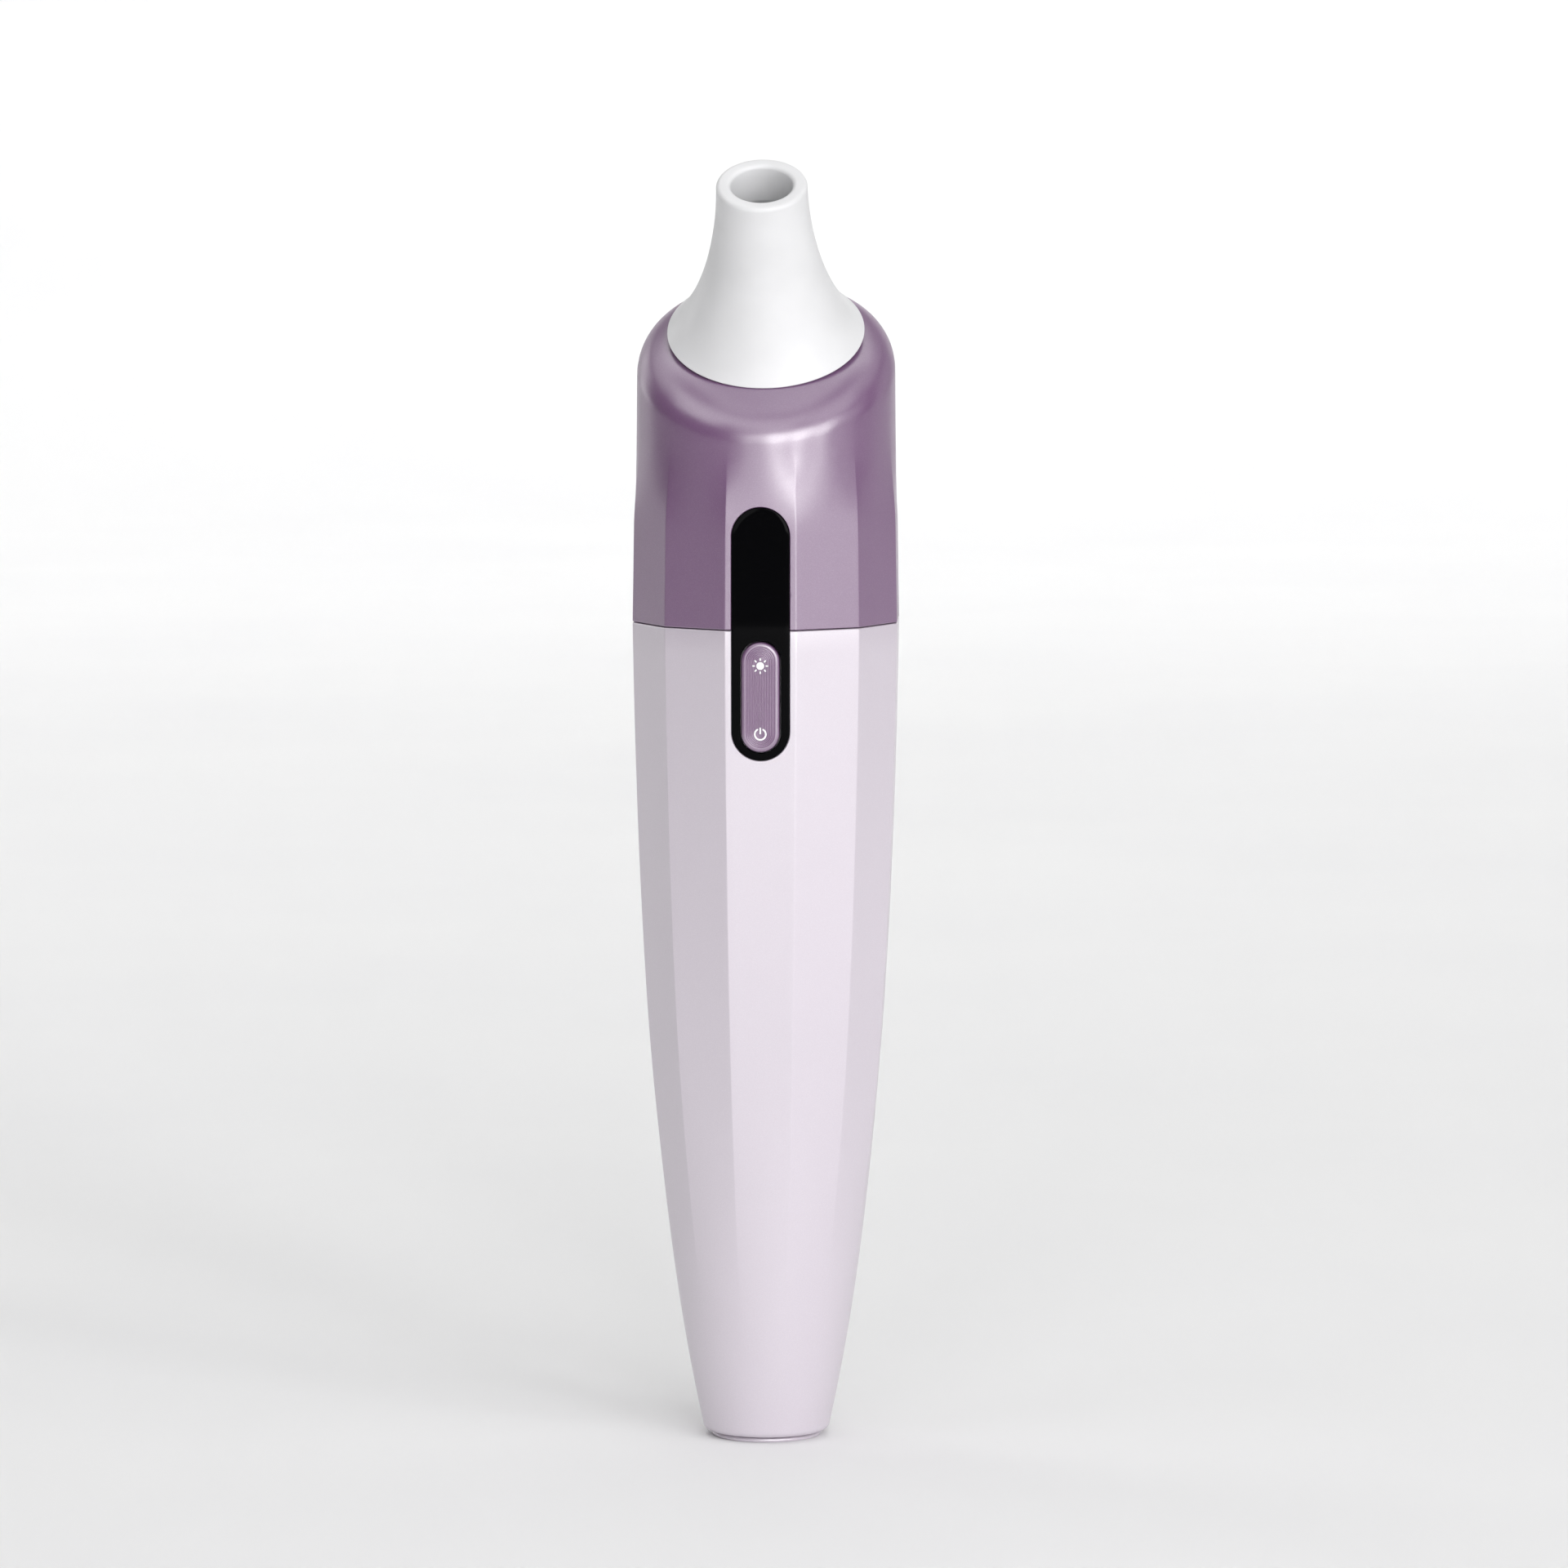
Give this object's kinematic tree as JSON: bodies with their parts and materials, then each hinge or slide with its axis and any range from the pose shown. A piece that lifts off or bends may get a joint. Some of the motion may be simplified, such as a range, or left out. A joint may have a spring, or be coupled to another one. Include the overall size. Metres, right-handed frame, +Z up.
{
  "type": "blackhead vacuum extractor",
  "caption": "Handheld facial suction wand: faceted tapering handle, rounded head with a slanted seat, push-on flared suction nozzle and a rocker button in a pill window.",
  "frame": {"origin": "centre of the base cap's underside, where the wand stands", "axes": "+Z up the wand towards the nozzle, -Y out of the front with the button, +X to the right seen from behind the front face (viewer's right when looking at the front)"},
  "size_m": [0.0358, 0.0366, 0.1748],
  "materials": {
    "shell_lilac": "pearlescent satin lacquer on moulded ABS",
    "shell_purple": "satin metallic lacquer on moulded ABS",
    "nozzle_white": "soft satin moulded plastic",
    "window_black": "polished tinted acrylic",
    "button_purple": "satin metallic lacquer with fine ribs",
    "frame_grey": "moulded ABS",
    "case_black": "moulded plastic",
    "board_green": "solder-masked glass-epoxy board",
    "steel": "bright steel",
    "brass": "turned brass",
    "copper_rotor": "laminated armature with enamelled windings",
    "ferrite": "sintered ferrite",
    "silicone": "translucent silicone",
    "foam": "open-cell foam",
    "cell_wrap": "shrink sleeve",
    "nickel": "nickel strip",
    "led_chip": "phosphor under clear resin",
    "light_diffuser": "milky translucent plastic",
    "display_black": "black display bezel",
    "wire_red": "PVC insulation",
    "wire_black": "PVC insulation"
  },
  "bodies": {
    "wand": {"body_shell": "shell_lilac", "head_shell": "shell_purple", "coupling_ring": "frame_grey", "window_lens": "window_black", "rocker_pin": "steel", "rocker_cradle": "case_black", "switch_top_body": "case_black", "switch_bottom_body": "case_black", "display_module": "display_black", "main_board": "board_green", "board_screw_1": "steel", "board_screw_2": "steel", "inner_frame": "frame_grey", "battery_cell": "cell_wrap", "battery_tab_top": "nickel", "battery_tab_bottom": "nickel", "battery_pad": "foam", "motor_can": "steel", "motor_end_cap": "case_black", "motor_magnet": "ferrite", "motor_bushing": "brass", "motor_pad": "foam", "pump_lower_case": "case_black", "wobble_plate": "frame_grey", "diaphragm_cups": "silicone", "valve_plate": "frame_grey", "pump_cover": "case_black", "pump_screw_1": "steel", "pump_screw_2": "steel", "pump_screw_3": "steel", "exhaust_muffler": "foam", "suction_hose": "silicone", "nozzle_seat": "nozzle_white", "seat_gasket": "silicone", "filter_sponge": "foam", "led_ring_board": "board_green", "led_1": "led_chip", "led_2": "led_chip", "led_3": "led_chip", "led_diffuser": "light_diffuser", "seat_screw_1": "steel", "seat_screw_2": "steel", "seat_screw_3": "steel", "base_cap": "shell_lilac", "base_seal": "silicone", "charge_port_shell": "steel", "charge_tongue": "case_black", "charge_board": "board_green", "battery_lead_red": "wire_red", "battery_lead_black": "wire_black", "charge_lead": "wire_red", "led_lead": "wire_black"},
    "nozzle": {"suction_nozzle": "nozzle_white"},
    "button": {"rocker_button": "button_purple"},
    "stem_top": {"switch_top_stem": "frame_grey"},
    "stem_bottom": {"switch_bottom_stem": "frame_grey"},
    "rotor": {"motor_shaft": "steel", "motor_rotor": "copper_rotor", "drive_hub": "nozzle_white", "drive_pin": "steel"}
  },
  "joints": [
    {"name": "nozzle_pull", "type": "slide", "parent": "wand", "child": "nozzle", "axis": [0, -0.5299, 0.848], "range_m": [0, 0.014]},
    {"name": "button_rock", "type": "hinge", "parent": "wand", "child": "button", "pos_m": [0, -0.0136, 0.10312], "axis": [1, 0, 0], "range_deg": [-2.2, 2.2], "stiffness_Nm_per_rad": 0.05},
    {"name": "stem_top_press", "type": "slide", "parent": "wand", "child": "stem_top", "axis": [0, 1, 0], "range_m": [-0.00023, 0.00023]},
    {"name": "stem_bottom_press", "type": "slide", "parent": "wand", "child": "stem_bottom", "axis": [0, 1, 0], "range_m": [-0.00023, 0.00023]},
    {"name": "motor_spin", "type": "hinge", "parent": "wand", "child": "rotor", "pos_m": [0, 0.0022, 0.084], "axis": [0, 0, 1], "continuous": true}
  ],
  "couplings": [
    {"joint": "stem_top_press", "follows": "button_rock", "m_per_rad": -0.005},
    {"joint": "stem_bottom_press", "follows": "button_rock", "m_per_rad": 0.005}
  ]
}
